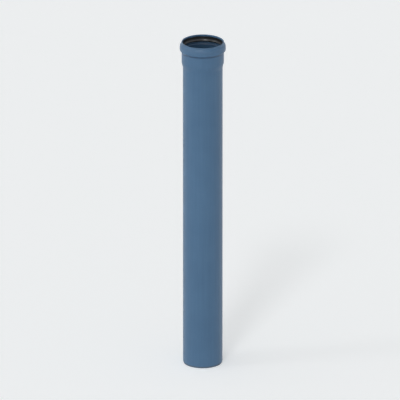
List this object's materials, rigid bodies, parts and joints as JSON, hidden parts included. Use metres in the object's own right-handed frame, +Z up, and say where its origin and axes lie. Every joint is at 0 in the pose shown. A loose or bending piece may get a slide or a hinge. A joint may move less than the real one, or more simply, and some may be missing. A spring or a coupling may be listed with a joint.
{
  "type": "polypropylene sewer pipe",
  "caption": "Straight blue polypropylene drain pipe: push-fit socket with a beaded seal groove and a rubber lip seal at one end, chamfered spigot at the other.",
  "frame": {"origin": "centre of the spigot's end, on the surface that the pipe stands on", "axes": "+Z up along the pipe's axis, from the spigot to the socket's mouth; X and Y are alike, because the pipe is round"},
  "size_m": [0.1448, 0.1446, 1.0757],
  "materials": {
    "blue_polypropylene": "satin",
    "black_rubber": "matte"
  },
  "bodies": {
    "root": {"pipe": "blue_polypropylene", "seal_ring": "black_rubber"}
  },
  "joints": []
}
